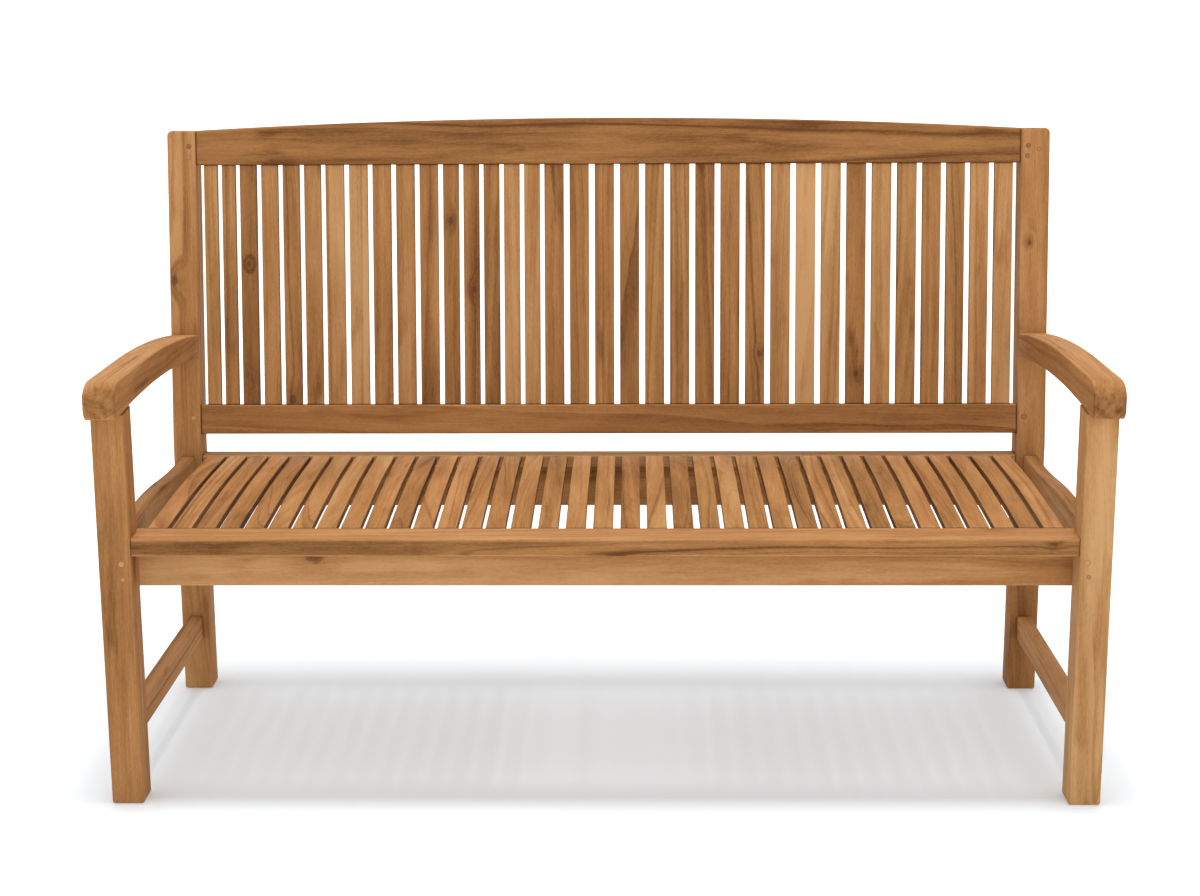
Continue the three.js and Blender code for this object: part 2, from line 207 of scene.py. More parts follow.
def drawn_in(distance, length, depth=None):
    """How far a side draws in at some distance from an end rounded as a quarter ellipse, by
    default a quarter circle: depth * (1 - sqrt(1 - (1 - distance / length)^2))."""
    rest = 1 - np.clip(distance / np.maximum(length, 1e-9), 0, 1)
    return (length if depth is None else depth) * (1 - np.sqrt(1 - rest ** 2))


def stations(start, end, first, last, steps, extra=()):
    """Lengths along a board: quarter circles at its ends, even steps and extra stops between."""
    turn = 1 - np.cos(np.radians([0, 14, 30, 46, 62, 76, 90]))
    head = start + np.append(first * turn, first * 1.3)
    tail = end - np.append(last * turn, last * 1.3)
    body = np.linspace(start + first * 1.5, end - last * 1.5, steps + 1)
    return np.unique(np.round(np.concatenate([head, body, list(extra), tail]), 7))


def board(l_range, w_range, t_range, corner=0.002, ends=0.002, steps=1, extra=()):
    """A softened board in its own length, width and thickness (l, w, t).

    At every station along l the section is the rectangle of the w and t limits with its four
    corners turned into quarter circles, and near both ends every side draws in on its own
    quarter circle. corner is one radius or four (+w+t, -w+t, -w-t, +w-t); ends is one radius or,
    for each end, four (-w, +w, -t, +t). A limit may be a function of l. Returns the points as an
    array of stations by ring points, and the two poles that close the ends.
    """
    corner = np.broadcast_to(np.asarray(corner, float), (4,))
    ends = np.broadcast_to(np.asarray(ends, float), (2, 4))
    start, end = l_range
    l = stations(start, end, ends[0].max(), ends[1].max(), steps, extra)
    pull = [drawn_in(l - start, ends[0][k]) + drawn_in(end - l, ends[1][k]) for k in range(4)]
    w0, w1 = along(w_range[0], l) + pull[0], along(w_range[1], l) - pull[1]
    t0, t1 = along(t_range[0], l) + pull[2], along(t_range[1], l) - pull[3]

    side = np.repeat(np.arange(4), CORNER_STEPS + 3)
    step = np.tile(np.r_[0, np.arange(CORNER_STEPS + 1), CORNER_STEPS], 4)
    slide = np.tile(np.r_[-1, np.zeros(CORNER_STEPS + 1), 1], 4)
    angle = math.pi / 2 * (side + step / CORNER_STEPS)
    half = np.minimum(w1 - w0, t1 - t0)[:, None] / 2
    radius = np.minimum(corner[side][None], half * 0.98)
    margin = np.minimum(radius * 0.35 + 0.0004, (half - radius) * 0.5) * slide
    plus_w, plus_t = np.isin(side, (0, 3)), side < 2
    w = np.where(plus_w, w1[:, None] - radius, w0[:, None] + radius)
    t = np.where(plus_t, t1[:, None] - radius, t0[:, None] + radius)
    w = w + radius * np.cos(angle) - margin * np.sin(angle)
    t = t + radius * np.sin(angle) + margin * np.cos(angle)
    grid = np.stack([np.broadcast_to(l[:, None], w.shape), w, t], axis=2)

    middle = grid.mean(axis=1, keepdims=True)
    cap = middle + (grid - middle) * CAP_RING
    grid = np.concatenate([cap[:1], grid, cap[-1:]])
    return grid, middle[0, 0], middle[-1, 0]


def board_faces(rows, ring):
    """Quads between neighbouring rings and a fan of triangles to the pole at each end."""
    i, j = np.meshgrid(np.arange(rows - 1), np.arange(ring), indexing="ij")
    k = (j + 1) % ring
    quads = np.stack([i * ring + j, i * ring + k, (i + 1) * ring + k, (i + 1) * ring + j], axis=2)
    n, m = np.arange(ring), (np.arange(ring) + 1) % ring
    foot, head = rows * ring, rows * ring + 1
    fan0 = np.stack([m, n, np.full(ring, foot)], axis=1)
    base = (rows - 1) * ring
    fan1 = np.stack([base + n, base + m, np.full(ring, head)], axis=1)
    return quads.reshape(-1, 4), np.concatenate([fan0, fan1])


def outward(points, quads, tris):
    """The same faces, turned round if the closed mesh they make has a negative volume."""
    fans = np.concatenate([quads[:, [0, 1, 2]], quads[:, [0, 2, 3]], tris])
    a, b, c = points[fans[:, 0]], points[fans[:, 1]], points[fans[:, 2]]
    volume = np.einsum("ij,ij->i", a, np.cross(b, c)).sum()
    return (quads, tris) if volume > 0 else (quads[:, ::-1], tris[:, ::-1])


def vector_attribute(mesh, name, values):
    """Stores three numbers on every point of a mesh."""
    data = mesh.attributes.new(name, "FLOAT_VECTOR", "POINT").data
    data.foreach_set("vector", np.ascontiguousarray(values, np.float32).ravel())


def joints_and_depth(grid, poles, joined, show):
    """For every point of a board: how far it is from the nearer end that meets another board,
    how far it lies behind the show face as a share of the thickness, and its distance from the
    start. joined says which ends meet a board; show is +1 or -1, the side of t seen first. The
    first two place painted shade: a dark line near the joined ends and darker narrow faces."""
    l, t = grid[..., 0], grid[..., 2]
    low, high = t.min(axis=1, keepdims=True), t.max(axis=1, keepdims=True)
    behind = (high - t if show > 0 else t - low) / (high - low)

    def with_distances(l, behind):
        to_start = l - grid[..., 0].min() if joined[0] else np.ones_like(l)
        to_end = grid[..., 0].max() - l if joined[1] else np.ones_like(l)
        return np.stack([np.minimum(to_start, to_end), behind, l - grid[..., 0].min()], axis=-1)

    ends = with_distances(np.array([p[0] for p in poles]), np.full(2, 0.5))
    return np.vstack([with_distances(l, behind).reshape(-1, 3), ends])


def mesh_object(name, points, quads, tris):
    """A smooth-shaded mesh object at the origin with its place in its points."""
    quads, tris = outward(points, quads, tris)
    mesh = bpy.data.meshes.new(name)
    mesh.from_pydata(points.tolist(), [], quads.tolist() + tris.tolist())
    mesh.polygons.foreach_set("use_smooth", np.ones(len(mesh.polygons), bool))
    mesh.update()
    obj = bpy.data.objects.new(name, mesh)
    bpy.context.scene.collection.objects.link(obj)
    return obj


NO_KNOT = (9.0, 9.0, 9.0)  # added to the points of a board without one, to keep them far away
FLAT_SAWN = (0.055, 0.25)  # the pith straight behind the front face of a rail or apron
TONES = {"w": -0.44, "l": -0.20, "m": 0.0, "d": 0.14}  # whitish, light, middle and dark boards


def cut_from_tree(points, name, heart=None):
    """Where each point of a board lies in the tree: length along the trunk and two distances
    from the pith. The board is shifted off the pith and its length leans by a small angle."""
    luck = random.Random(name)
    away = luck.uniform(0.035, 0.110)
    turn = luck.uniform(0, 2 * math.pi)
    if heart is not None:
        away, turn = heart
    lean_w, lean_t = (luck.uniform(-0.035, 0.035) for _ in range(2))
    l, w, t = points.T
    w, t = w - (w.min() + w.max()) / 2, t - (t.min() + t.max()) / 2
    return np.stack([
        l + luck.uniform(0, 40),
        w + lean_w * l + away * math.cos(turn),
        t + lean_t * l + away * math.sin(turn)], axis=1)


def wooden(name, shape, place, surface, nodes, tone=0.0, knot=None, heart=None,
           joined=(True, True), show=1):
    """Makes one board: the softened shape, put in place, with its timber stored on its points.

    place carries (l, w, t) to (x, y, z). tone darkens the board, or lightens it below 0. knot is
    (l, w, t, radius) of a knot in it and heart the distance and direction of the pith. joined
    and show are those of joints_and_depth.
    """
    grid, foot, head = shape
    rows, ring = grid.shape[:2]
    flat = np.vstack([grid.reshape(-1, 3), foot, head])
    points = np.stack(np.broadcast_arrays(*place(*flat.T)), axis=1)
    obj = mesh_object(name, points, *board_faces(rows, ring))
    luck = random.Random(name + " board")
    vector_attribute(obj.data, "timber", cut_from_tree(flat, name, heart))
    centre, size = (np.array(knot[:3]), knot[3]) if knot else (-np.array(NO_KNOT), 1.0)
    vector_attribute(obj.data, "knot", (flat - centre) / size)
    board_tone = (tone + luck.uniform(-0.05, 0.05), luck.uniform(-1, 1), luck.uniform(0, 50))
    vector_attribute(obj.data, "board", np.tile(board_tone, (len(flat), 1)))
    # Measures that place the painted shade at joints and on narrow faces, and the end grain of a
    # nose.
    vector_attribute(obj.data, "dusk", joints_and_depth(grid, (foot, head), joined, show))
    return finish_piece(obj, surface, nodes)


def finish_piece(obj, surface, nodes=()):
    """Gives a piece its material and its body, and hides the nodes that it stands for."""
    obj.data.materials.append(surface)
    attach(obj, "root")
    if nodes:
        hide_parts(*nodes)
    return obj


# Ways a board lies: each carries its length, width and thickness to x, y and z.


def lies_across(l, w, t):
    return l, w, t


def lies_deep(l, w, t):
    return w, l, t



# ---- Shader maths ----------------------------------------------------------------------------


class Value:
    """A number socket that adds its own Math node whenever it is calculated with."""

    def __init__(self, shader, socket):
        self.shader, self.socket = shader, socket

    def math(self, operation, *values):
        made = self.shader.node(
            "ShaderNodeMath", {"operation": operation}, dict(enumerate(values)))
        return Value(self.shader, made.outputs[0])

    def __add__(self, other):
        return self.math("ADD", self, other)

    def __sub__(self, other):
        return self.math("SUBTRACT", self, other)

    def __rsub__(self, other):
        return self.math("SUBTRACT", other, self)

    def __mul__(self, other):
        return self.math("MULTIPLY", self, other)

    def __truediv__(self, other):
        return self.math("DIVIDE", self, other)

    def __pow__(self, other):
        return self.math("POWER", self, other)

    __radd__, __rmul__ = __add__, __mul__


class Shader:
    """A new material and the one way nodes are added to it."""

    def __init__(self, name):
        self.material = bpy.data.materials.new(name)
        self.material.use_nodes = True
        self.tree = self.material.node_tree
        self.tree.nodes.clear()

    def node(self, kind, settings=None, inputs=None):
        made = self.tree.nodes.new(kind)
        for key, value in (settings or {}).items():
            if key == "stops":
                ramp = made.color_ramp
                while len(ramp.elements) < len(value):
                    ramp.elements.new(0.5)
                for element, (position, colour) in zip(ramp.elements, value):
                    element.position = position
                    element.color = (*colour, 1)
            else:
                setattr(made, key, value)
        for key, value in (inputs or {}).items():
            source = value.socket if isinstance(value, Value) else value
            if isinstance(source, bpy.types.NodeSocket):
                self.tree.links.new(source, made.inputs[key])
            else:
                made.inputs[key].default_value = source
        return made

    def attribute(self, name):
        return self.node("ShaderNodeAttribute", {"attribute_name": name}).outputs["Vector"]

    def split(self, vector):
        parts = self.node("ShaderNodeSeparateXYZ", inputs={0: vector})
        return [Value(self, socket) for socket in parts.outputs]

    def scaled(self, vector, scale):
        return self.node(
            "ShaderNodeVectorMath", {"operation": "MULTIPLY"}, {0: vector, 1: scale}).outputs[0]

    def vector(self, x, y, z):
        return self.node("ShaderNodeCombineXYZ", inputs={0: x, 1: y, 2: z}).outputs[0]

    def noise(self, vector, scale, detail=2.0, roughness=0.5):
        """Noise stretched by a scale for each axis, from 0 to 1."""
        made = self.node("ShaderNodeTexNoise", inputs={
            "Vector": self.scaled(vector, scale), "Scale": 1.0, "Detail": detail,
            "Roughness": roughness})
        return Value(self, made.outputs[0])

    def dice(self, number):
        """A random number from 0 to 1 for every whole number."""
        made = self.node(
            "ShaderNodeTexWhiteNoise", {"noise_dimensions": "1D"}, {"W": number})
        return Value(self, made.outputs[0])

    def band(self, value, low, high, start=0.0, end=1.0):
        """A smooth step from start to end as the value goes from low to high."""
        made = self.node("ShaderNodeMapRange", {"interpolation_type": "SMOOTHSTEP"}, {
            "Value": value, "From Min": low, "From Max": high, "To Min": start, "To Max": end})
        return Value(self, made.outputs[0])

    def mixed(self, factor, first, second, blend="MIX"):
        made = self.node("ShaderNodeMix", {"data_type": "RGBA", "blend_type": blend}, {
            0: factor, 6: first, 7: second})
        return made.outputs[2]

    def finish(self, colour, roughness, height, relief, distance, **constants):
        bump = self.node("ShaderNodeBump", inputs={
            "Strength": relief, "Distance": distance, "Height": height})
        surface = self.node("ShaderNodeBsdfPrincipled", inputs={
            "Base Color": colour, "Roughness": roughness, "Normal": bump.outputs[0], **constants})
        self.node("ShaderNodeOutputMaterial", inputs={"Surface": surface.outputs[0]})
        return self.material


def wood_colour(sh, shade, palest):
    """Colour of the wood from its shade: light up to the palest shade, middle at 0.48, dark at 1."""
    wood = bpy.context.scene.bench_wood
    return sh.node("ShaderNodeValToRGB", {"stops": [
        (palest, wood.light), (0.48, wood.middle), (1.0, wood.dark)]}, {0: shade}).outputs[0]


KNOT_COLOUR = (0.085, 0.040, 0.020, 1)


def teak(name, depth=0.0, sides=0.0, nose=0.0):
    """Oiled teak: irregular growth bands round the pith, bent by slow drifts and by knots, under
    soft clouds, fine fibres and short pores drawn out along the length. depth darkens or
    lightens the whole finish, sides paints shade on the narrow faces between the two wide ones,
    and nose makes the end grain at the start of a board patchy and dark. A painted shadow also
    darkens each board near every end that meets another board."""
    wood = bpy.context.scene.bench_wood
    sh = Shader(name)
    timber = sh.attribute("timber")
    tone, warmth, seed = sh.split(sh.attribute("board"))
    length, across, through = sh.split(timber)
    to_end, behind, from_start = sh.split(sh.attribute("dusk"))

    knot = sh.scaled(sh.attribute("knot"), (0.62, 1.0, 1.0))
    ragged = sh.noise(knot, (1.4, 1.4, 1.4), 3.0, 0.6) - 0.5
    knot_distance = ragged * 1.5 + Value(sh, sh.node(
        "ShaderNodeVectorMath", {"operation": "LENGTH"}, {0: knot}).outputs["Value"])
    knot_core = sh.band(knot_distance, 0.45, 1.15, 1.0, 0.0)
    knot_reach = sh.band(knot_distance, 0.5, 4.5, 1.0, 0.0)

    slow = sh.noise(timber, (1.3, 8, 8), 2.0) - 0.5
    wander = sh.noise(timber, (5.0, 22, 22), 2.0) - 0.5
    from_pith = (across * across + through * through) ** 0.5
    rings = (from_pith + slow * 0.034 + wander * 0.006 + knot_reach * 0.007) / wood.ring_spacing
    growth = sh.vector(length * 0.5, rings, seed)
    bands = sh.noise(growth, (1.0, 0.8, 1.0), 3.0, 0.6) - 0.5
    veins = sh.band(sh.noise(growth, (1.6, 4.2, 1.0), 1.0), 0.63, 0.76)
    number = rings.math("FLOOR", rings)
    within = rings - number
    strength = sh.dice(number + seed) ** 2.2
    late = sh.band(within, 0.35, 0.95) * sh.band(within, 0.95, 1.0, 1.0, 0.0)

    blotch = sh.noise(timber, (5.0, 42, 42), 3.0, 0.55) - 0.5
    cloud = sh.noise(timber, (1.5, 10, 10), 1.0) - 0.5
    fibre = sh.noise(timber, (18, 420, 420), 2.0, 0.6) - 0.5
    speckle = sh.noise(timber, (150, 560, 560), 2.0, 0.7) - 0.5
    pore = sh.band(sh.noise(timber, (60, 900, 900), 1.0), 0.60, 0.74)

    stain = sh.band(sh.noise(timber, (9, 38, 38), 2.0), 0.58, 0.80)
    shade = (0.41 + depth + tone + bands * 0.72 + blotch * 0.62 + cloud * 0.46 + fibre * 0.32
             + speckle * 0.36 + late * strength * 0.24 + veins * 0.20 + pore * 0.10
             + stain * 0.26 + knot_reach * 0.16)
    # Painted shade: the narrow faces between the two wide ones are darkened by sides, fading out
    # before the face at the back.
    painted_side_shade = sh.band(behind, 0.04, 0.20) * sh.band(behind, 0.85, 0.97, 1.0, 0.0)
    # Painted shadow: a dark line near every end that meets another board, where the joint lies in
    # shade.
    dusk = painted_side_shade * sides + sh.band(to_end, 0.0006, 0.0030, 0.5, 0.0)
    if nose:
        patch = sh.noise(timber, (60, 70, 70), 3.0, 0.6)
        dusk = dusk + sh.band(from_start, 0.001, 0.016, 1.0, 0.0) * (patch * 0.75 - 0.18) * nose
    plain = wood_colour(sh, shade + dusk, 0.05)
    swirl = knot_distance * 2.2
    knot_rings = sh.band(swirl.math("PINGPONG", swirl, 0.5), 0.05, 0.45, 0.82, 1.0)
    brown = sh.mixed(knot_core * knot_rings * 0.72, plain, KNOT_COLOUR)
    hue = sh.mixed(
        sh.band(warmth, -1.0, 1.0), (0.500, 0.501, 0.475, 1), (0.54, 0.490, 0.47, 1))
    coloured = sh.mixed(0.6, brown, hue, blend="SOFT_LIGHT")

    rough = wood.roughness + fibre * 0.22 + late * 0.05
    height = fibre * 0.6 + pore * -0.8 + late * -0.35
    return sh.finish(
        coloured, rough, height, wood.relief, 0.0005, **{"Specular IOR Level": 0.03})


def material(name, maker, *settings):
    """The material of that name, made the first time it is asked for."""
    return bpy.data.materials.get(name) or maker(name, *settings)


# The teak of each kind of board: how much darker all of it is, how much painted shade its narrow
# sides get and how much darker its nose is.
FINISHES = {
    "frame": (0.0, 0.0, 0.0),
    "post": (0.0, 0.12, 0.0),
    "arm": (-0.06, 0.0, 1.1),
    "seat board": (0.0, 0.30, 0.0),
    "back slat": (0.09, 0.45, 0.0),
    "seat slat": (0.09, 0.30, 0.0),
}


def finish(kind):
    return material(f"{kind} teak", teak, *FINISHES[kind])


# ---- Operators, one for each group of like boards --------------------------------------------


class MakesBoards:
    """What the operators share: the shape settings and the two ends of the bench."""

    bl_options = {"REGISTER", "UNDO"}
    ends = (("right", 1), ("left", -1))

    @property
    def edge(self):
        return bpy.context.scene.bench_shape


def both_ways(sign, low, high):
    """The x limits of a piece at the right-hand end, or mirrored at the left-hand end."""
    return (low, high) if sign > 0 else (-high, -low)


class BENCH_OT_front_legs(MakesBoards, bpy.types.Operator):
    """Front legs: square posts whose tops follow the underside of the arms"""

    bl_idname = "bench.front_legs"
    bl_label = "Front legs"

    def execute(self, context):
        top = float(arm_underside(FRONT)) - GAP

        def place(l, w, t):
            return w, t, l * (arm_underside(t) - GAP) / top

        for (end, sign), tone, heart in zip(self.ends, (-0.20, 0.02), ((0.09, 1.9), (0.07, 1.1))):
            node = f"front_leg_{end}"
            shape = board(
                (0, top), both_ways(sign, LEG_INNER, LEG_HIGH.x), (LEG_LOW.y, LEG_HIGH.y),
                self.edge.frame_edge, [[0.004] * 4, [0.001] * 4], 6)
            wooden(f"wood_{node}", shape, place, finish("frame"), [node],
                   tone, joined=(False, True), heart=heart)
        return {"FINISHED"}


class BENCH_OT_rear_posts(MakesBoards, bpy.types.Operator):
    """Rear posts: upright to the seat, then leaning back, cut square at the top"""

    bl_idname = "bench.rear_posts"
    bl_label = "Rear posts"

    def execute(self, context):
        drop = LEG_DEPTH * math.cos(RAKE) * math.sin(RAKE)

        def place(l, w, t):
            run = np.clip((l - KINK) / (POST_FACE_TOP - KINK), 0, 1)
            z = l - drop * run * (t - POST_FRONT) / LEG_DEPTH
            return w, t + post_lean(z), z

        knots = ((0.783, 0.718, POST_FRONT, 0.0035), (0.723, -0.742, POST_FRONT, 0.0075))
        for (end, sign), knot, tone in zip(self.ends, knots, (0.06, -0.04)):
            node = f"rear_post_{end}"
            outer, inner, front = 0.009, 0.0025, 0.004  # how far the top is rounded on each side
            sides = (inner, outer) if sign > 0 else (outer, inner)
            head = [*sides, front, front]
            shape = board(
                (0, POST_FACE_TOP), both_ways(sign, LEG_INNER, POST_HIGH.x),
                (POST_FRONT, POST_FRONT + LEG_DEPTH), self.edge.frame_edge,
                [[0.004] * 4, head], 10, extra=KINK + np.array([-0.006, -0.002, 0.002, 0.006]))
            wooden(f"wood_{node}", shape, place, finish("post"), [node], tone,
                   knot, joined=(False, False))
        return {"FINISHED"}


class BENCH_OT_armrests(MakesBoards, bpy.types.Operator):
    """Armrests: two shallow arcs, a rounded nose and a rear end cut to the lean of the posts"""

    bl_idname = "bench.armrests"
    bl_label = "Armrests"

    def execute(self, context):
        nose, middle, heart_height = ARM_LOW.y, 0.6325, 0.625
        top_length, top_depth = 0.038, 0.026  # of the nose's upper quarter ellipse
        bottom_length = 0.013
        bottom_depth = middle - float(arm_underside(nose + bottom_length))
        rear = POST_FRONT + float(post_lean(heart_height)) - GAP
        cut = 0.080  # the rear end turns square to the leaning post over this length
        turn = 1 - np.cos(np.radians(np.linspace(5, 90, 12)))

        def under(y):
            return arm_underside(y) + drawn_in(y - nose, bottom_length, bottom_depth)

        def over(y):
            return arm_top(y) - drawn_in(y - nose, top_length, top_depth)

        def place(l, w, t):
            reach = np.clip((l - rear + cut) / cut, 0, 1)
            return w, l + (t - heart_height) * math.tan(RAKE) * reach, t

        for end, sign in self.ends:
            node = f"armrest_{end}"
            edge = self.edge.arm_edge
            shape = board(
                (nose + 0.0002, rear), both_ways(sign, ARM_LOW.x, ARM_HIGH.x), (under, over),
                (edge, edge, 0.002, 0.002), [[0.0025, 0.0025, 0.0002, 0.0002], [0.001] * 4], 24,
                extra=nose + np.concatenate([top_length * turn, bottom_length * turn]))
            wooden(f"wood_{node}", shape, place, finish("arm"), [node], 0.09,
                   joined=(False, True))
        return {"FINISHED"}


class BENCH_OT_side_rails(MakesBoards, bpy.types.Operator):
    """Side rails under the seat, with a waved top edge, and the low side stretchers"""

    bl_idname = "bench.side_rails"
    bl_label = "Side rails and stretchers"

    def execute(self, context):
        front, rear = LEG_HIGH.y + GAP, POST_FRONT - GAP
        for end, sign in self.ends:
            width = both_ways(sign, RAIL_LOW.x, RAIL_HIGH.x)
            shape = board(
                (front, rear), width, (RAIL_LOW.z, seat_rail_top), self.edge.frame_edge, 0.0008, 24)
            wooden(f"wood_side_seat_rail_{end}", shape, lies_deep, finish("frame"),
                   [f"side_seat_rail_{end}"], 0.05)
            low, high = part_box(f"side_stretcher_{end}")
            shape = board(
                (front, rear), width, (low.z, high.z), self.edge.frame_edge, 0.0008, 4)
            wooden(f"wood_side_stretcher_{end}", shape, lies_deep, finish("frame"),
                   [f"side_stretcher_{end}"], 0.02)
        return {"FINISHED"}


class BENCH_OT_aprons(MakesBoards, bpy.types.Operator):
    """Front and rear aprons under the seat and the bearer between them"""

    bl_idname = "bench.aprons"
    bl_label = "Aprons and bearer"

    def execute(self, context):
        knot = (-0.436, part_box("front_apron")[0].y, 0.3745, 0.0105)
        for name, reach, knot, tone in (
                ("front_apron", RAIL_LOW.x - GAP, knot, -0.08),
                ("rear_apron", LEG_INNER - GAP, None, 0.22)):
            low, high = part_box(name)
            shape = board(
                (-reach, reach), (low.y, high.y), (low.z, high.z), 0.002, 0.0008, 24)
            wooden(f"wood_{name}", shape, lies_across, finish("frame"), [name],
                   tone, knot, FLAT_SAWN)
        low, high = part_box("seat_bearer")
        start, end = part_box("front_apron")[1].y + GAP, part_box("rear_apron")[0].y - GAP
        under, notch = SLAT_THICKNESS + GAP, 0.4012  # clear of the slats and of the seat boards
        shape = board(
            (start, end), (low.x, high.x), (low.z, lambda y: np.minimum(seat_top(y) - under, notch)),
            0.0015, 0.0008, 12)
        wooden("wood_seat_bearer", shape, lies_deep, finish("frame"),
               ["seat_bearer"], 0.05)
        return {"FINISHED"}


class BENCH_OT_seat_boards(MakesBoards, bpy.types.Operator):
    """The two long boards that edge the seat; the front one is notched round the legs"""

    bl_idname = "bench.seat_boards"
    bl_label = "Seat boards"

    def execute(self, context):
        low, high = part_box("seat_front_board")
        reach, shoulder = high.x, LEG_INNER - GAP
        behind = LEG_HIGH.y + GAP

        def front_edge(x):
            inside = low.y + drawn_in(shoulder - np.abs(x), 0.0015)
            return np.where(np.abs(x) <= shoulder, inside, behind)

        steps = np.array([0, 0.0002, 0.0005, 0.001, 0.0015, 0.003, -0.00025, -0.002])
        shape = board(
            (-reach, reach), (front_edge, high.y), (low.z, high.z),
            (0.0015, 0.0024, 0.0020, 0.0015), 0.0006, 24,
            extra=np.concatenate([shoulder - steps, steps - shoulder]))
        wooden("wood_seat_front_board", shape, lies_across, finish("seat board"),
               ["seat_front_board"], 0.06, (0.664, low.y, 0.408, 0.0034), FLAT_SAWN)
        low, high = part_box("seat_rear_board")
        shape = board(
            (low.x, high.x), (low.y, high.y), (low.z, high.z), 0.002, 0.0008, 24)
        wooden("wood_seat_rear_board", shape, lies_across, finish("frame"),
               ["seat_rear_board"], -0.14)
        return {"FINISHED"}


# Knots in the slats of the back: their x, their place up the rake and their radius.
BACK_KNOTS = (
    (-0.615, 0.313, 0.0035), (-0.542, 0.080, 0.0070), (-0.267, 0.386, 0.0055),
    (-0.227, 0.269, 0.0045), (0.260, 0.158, 0.0040), (0.426, 0.123, 0.0045),
)
SEAT_TONES = "mlmmd lmmlm dmlmm lmmdm lmmlm mdmlm mlmdm ml".replace(" ", "")
BACK_TONES = "lmdmmmllmm mdddllmmmd mmdmdmwldl mmmll".replace(" ", "")


def slat_edges(node):
    """The x limits of every slat of a joined set, read from its points midway along."""
    points = np.array([v.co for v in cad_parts[node].data.vertices])
    middle = np.abs(points[:, 1] - (SEAT_START + SEAT_END) / 2) < 0.15
    return np.unique(np.round(points[middle, 0], 5)).reshape(-1, 2)


class BENCH_OT_seat_slats(MakesBoards, bpy.types.Operator):
    """The seat slats, one board each, crowned from front to back"""

    bl_idname = "bench.seat_slats"
    bl_label = "Seat slats"

    def execute(self, context):
        number = 0
        for node in sorted(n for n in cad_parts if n.startswith("seat_slats_")):
            for edges in slat_edges(node):
                shape = board(
                    (SEAT_START + GAP, SEAT_END - GAP), edges,
                    (lambda y: seat_top(y) - SLAT_THICKNESS, seat_top),
                    self.edge.slat_edge, 0.0008, 16)
                tone = 0.5 * TONES[SEAT_TONES[number]]
                number += 1
                wooden(f"wood_seat_slat_{number:02d}", shape, lies_deep, finish("seat slat"),
                       [node], tone)
        return {"FINISHED"}


class BENCH_OT_back_rails(MakesBoards, bpy.types.Operator):
    """The straight bottom rail and the arched top rail of the back"""

    bl_idname = "bench.back_rails"
    bl_label = "Back rails"

    def execute(self, context):
        reach = LEG_INNER - GAP
        radius = (reach ** 2 + TOP_RAIL_ARCH ** 2) / (2 * TOP_RAIL_ARCH)

        def arched(x):
            return TOP_RAIL_END + TOP_RAIL_ARCH - radius + np.sqrt(radius ** 2 - x ** 2)

        edge = self.edge
        shape = board((-reach, reach), BACK_RAIL_DEPTH, BOTTOM_RAIL_RUN, 0.0022, 0.0008, 24)
        wooden("wood_back_bottom_rail", shape, raked, finish("frame"),
               ["back_bottom_rail"], 0.12, heart=FLAT_SAWN)
        shape = board(
            (-reach, reach), BACK_RAIL_DEPTH, (TOP_RAIL_START, arched),
            (0.003, edge.nosing_edge, 0.002, 0.002), 0.0008, 48)
        wooden("wood_back_top_rail", shape, raked, finish("frame"),
               ["back_top_rail"], 0.27, heart=FLAT_SAWN)
        return {"FINISHED"}


class BENCH_OT_back_slats(MakesBoards, bpy.types.Operator):
    """The upright slats of the back, tenoned between its two rails"""

    bl_idname = "bench.back_slats"
    bl_label = "Back slats"

    def execute(self, context):
        nodes = sorted(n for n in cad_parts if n.startswith("back_slat_"))
        for node, tone in zip(nodes, BACK_TONES, strict=True):
            low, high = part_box(node)
            shape = board(
                (BOTTOM_RAIL_RUN[1] + GAP, TOP_RAIL_START - GAP), (low.x, high.x), BACK_SLAT_DEPTH,
                self.edge.slat_edge, 0.0006, 8)
            knot = next((
                (up, x, BACK_SLAT_DEPTH[0], radius) for x, up, radius in BACK_KNOTS
                if low.x < x < high.x), None)
            wooden(f"wood_{node}", shape, lambda l, w, t: raked(w, t, l), finish("back slat"),
                   [node], TONES[tone], knot, show=-1)
        return {"FINISHED"}


def plug_wood(name):
    """End grain of a plug, with the dark line of the hole round its rim."""
    sh = Shader(name)
    radial, tone, _ = sh.split(sh.attribute("plug"))
    speck = sh.noise(sh.node("ShaderNodeTexCoord").outputs["Object"], (1400, 1400, 1400), 2.0)
    rim = sh.band(radial, 0.72, 0.90)
    shade = 0.36 + tone + (speck - 0.5) * 0.4 + rim * 0.42
    return sh.finish(
        wood_colour(sh, shade, 0.10), 0.7 + (speck - 0.5) * 0.2, speck, 0.3, 0.0004,
        **{"Specular IOR Level": 0.25})


def plug(name, place, radius, tone):
    """A plug: rings of a shallow dome 0.25 mm proud, r(s) and h(s) from rim to crown, and a
    foot sunk in the leg. place carries (right, up, out) to (x, y, z)."""
    s = np.array([0.0, 0.55, 0.86, 0.955, 0.99, 1.0, 1.0])
    out = np.array([0.00028, 0.00026, 0.00018, 0.00008, -0.00012, -0.0006, -0.0040])
    sides = 24
    angle = 2 * math.pi * np.arange(sides) / sides
    rings = np.stack([
        radius * s[1:, None] * np.cos(angle), radius * s[1:, None] * np.sin(angle),
        np.broadcast_to(out[1:, None], (len(s) - 1, sides))], axis=2)
    rows = len(rings)
    flat = np.vstack([rings.reshape(-1, 3), [0, 0, out[0]], [0, 0, out[-1]]])
    points = np.stack(place(*flat.T), axis=1)
    obj = mesh_object(name, points, *board_faces(rows, sides))
    radial = np.hypot(flat[:, 0], flat[:, 1]) / radius
    vector_attribute(obj.data, "plug", np.stack(
        [radial, np.full(len(flat), tone), np.zeros(len(flat))], axis=1))
    return finish_piece(obj, material("plug end grain", plug_wood))


